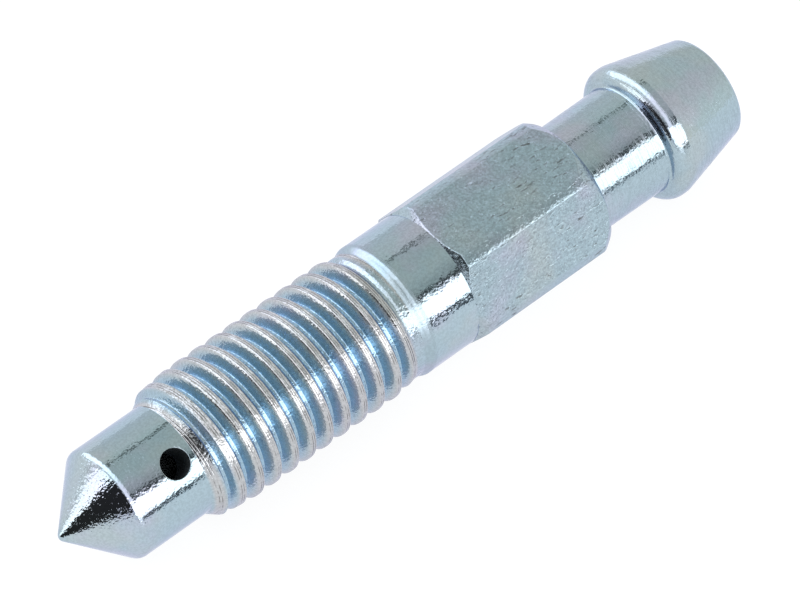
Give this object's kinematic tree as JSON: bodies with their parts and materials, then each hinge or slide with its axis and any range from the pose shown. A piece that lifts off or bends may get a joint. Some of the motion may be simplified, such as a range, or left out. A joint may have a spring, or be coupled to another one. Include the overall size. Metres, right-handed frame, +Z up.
{
  "type": "bleeder screw",
  "caption": "Hollow bleed screw with a seat cone and cross hole, a rolled fine thread, a hexagon and a nipple for a hose",
  "frame": {"origin": "Centre of the bounding box in X and Y, at its lowest point in Z", "axes": "+X along the screw's axis from the seat cone to the hose nipple, +Z up, out of the upper flat of the hexagon; the cross hole opens on the -Y side, 60 degrees up"},
  "size_m": [0.0384, 0.0076, 0.007],
  "materials": {
    "zinc_steel": "zinc plated, clear blue passivated"
  },
  "bodies": {
    "root": {"bleeder_screw": "zinc_steel"}
  },
  "joints": []
}
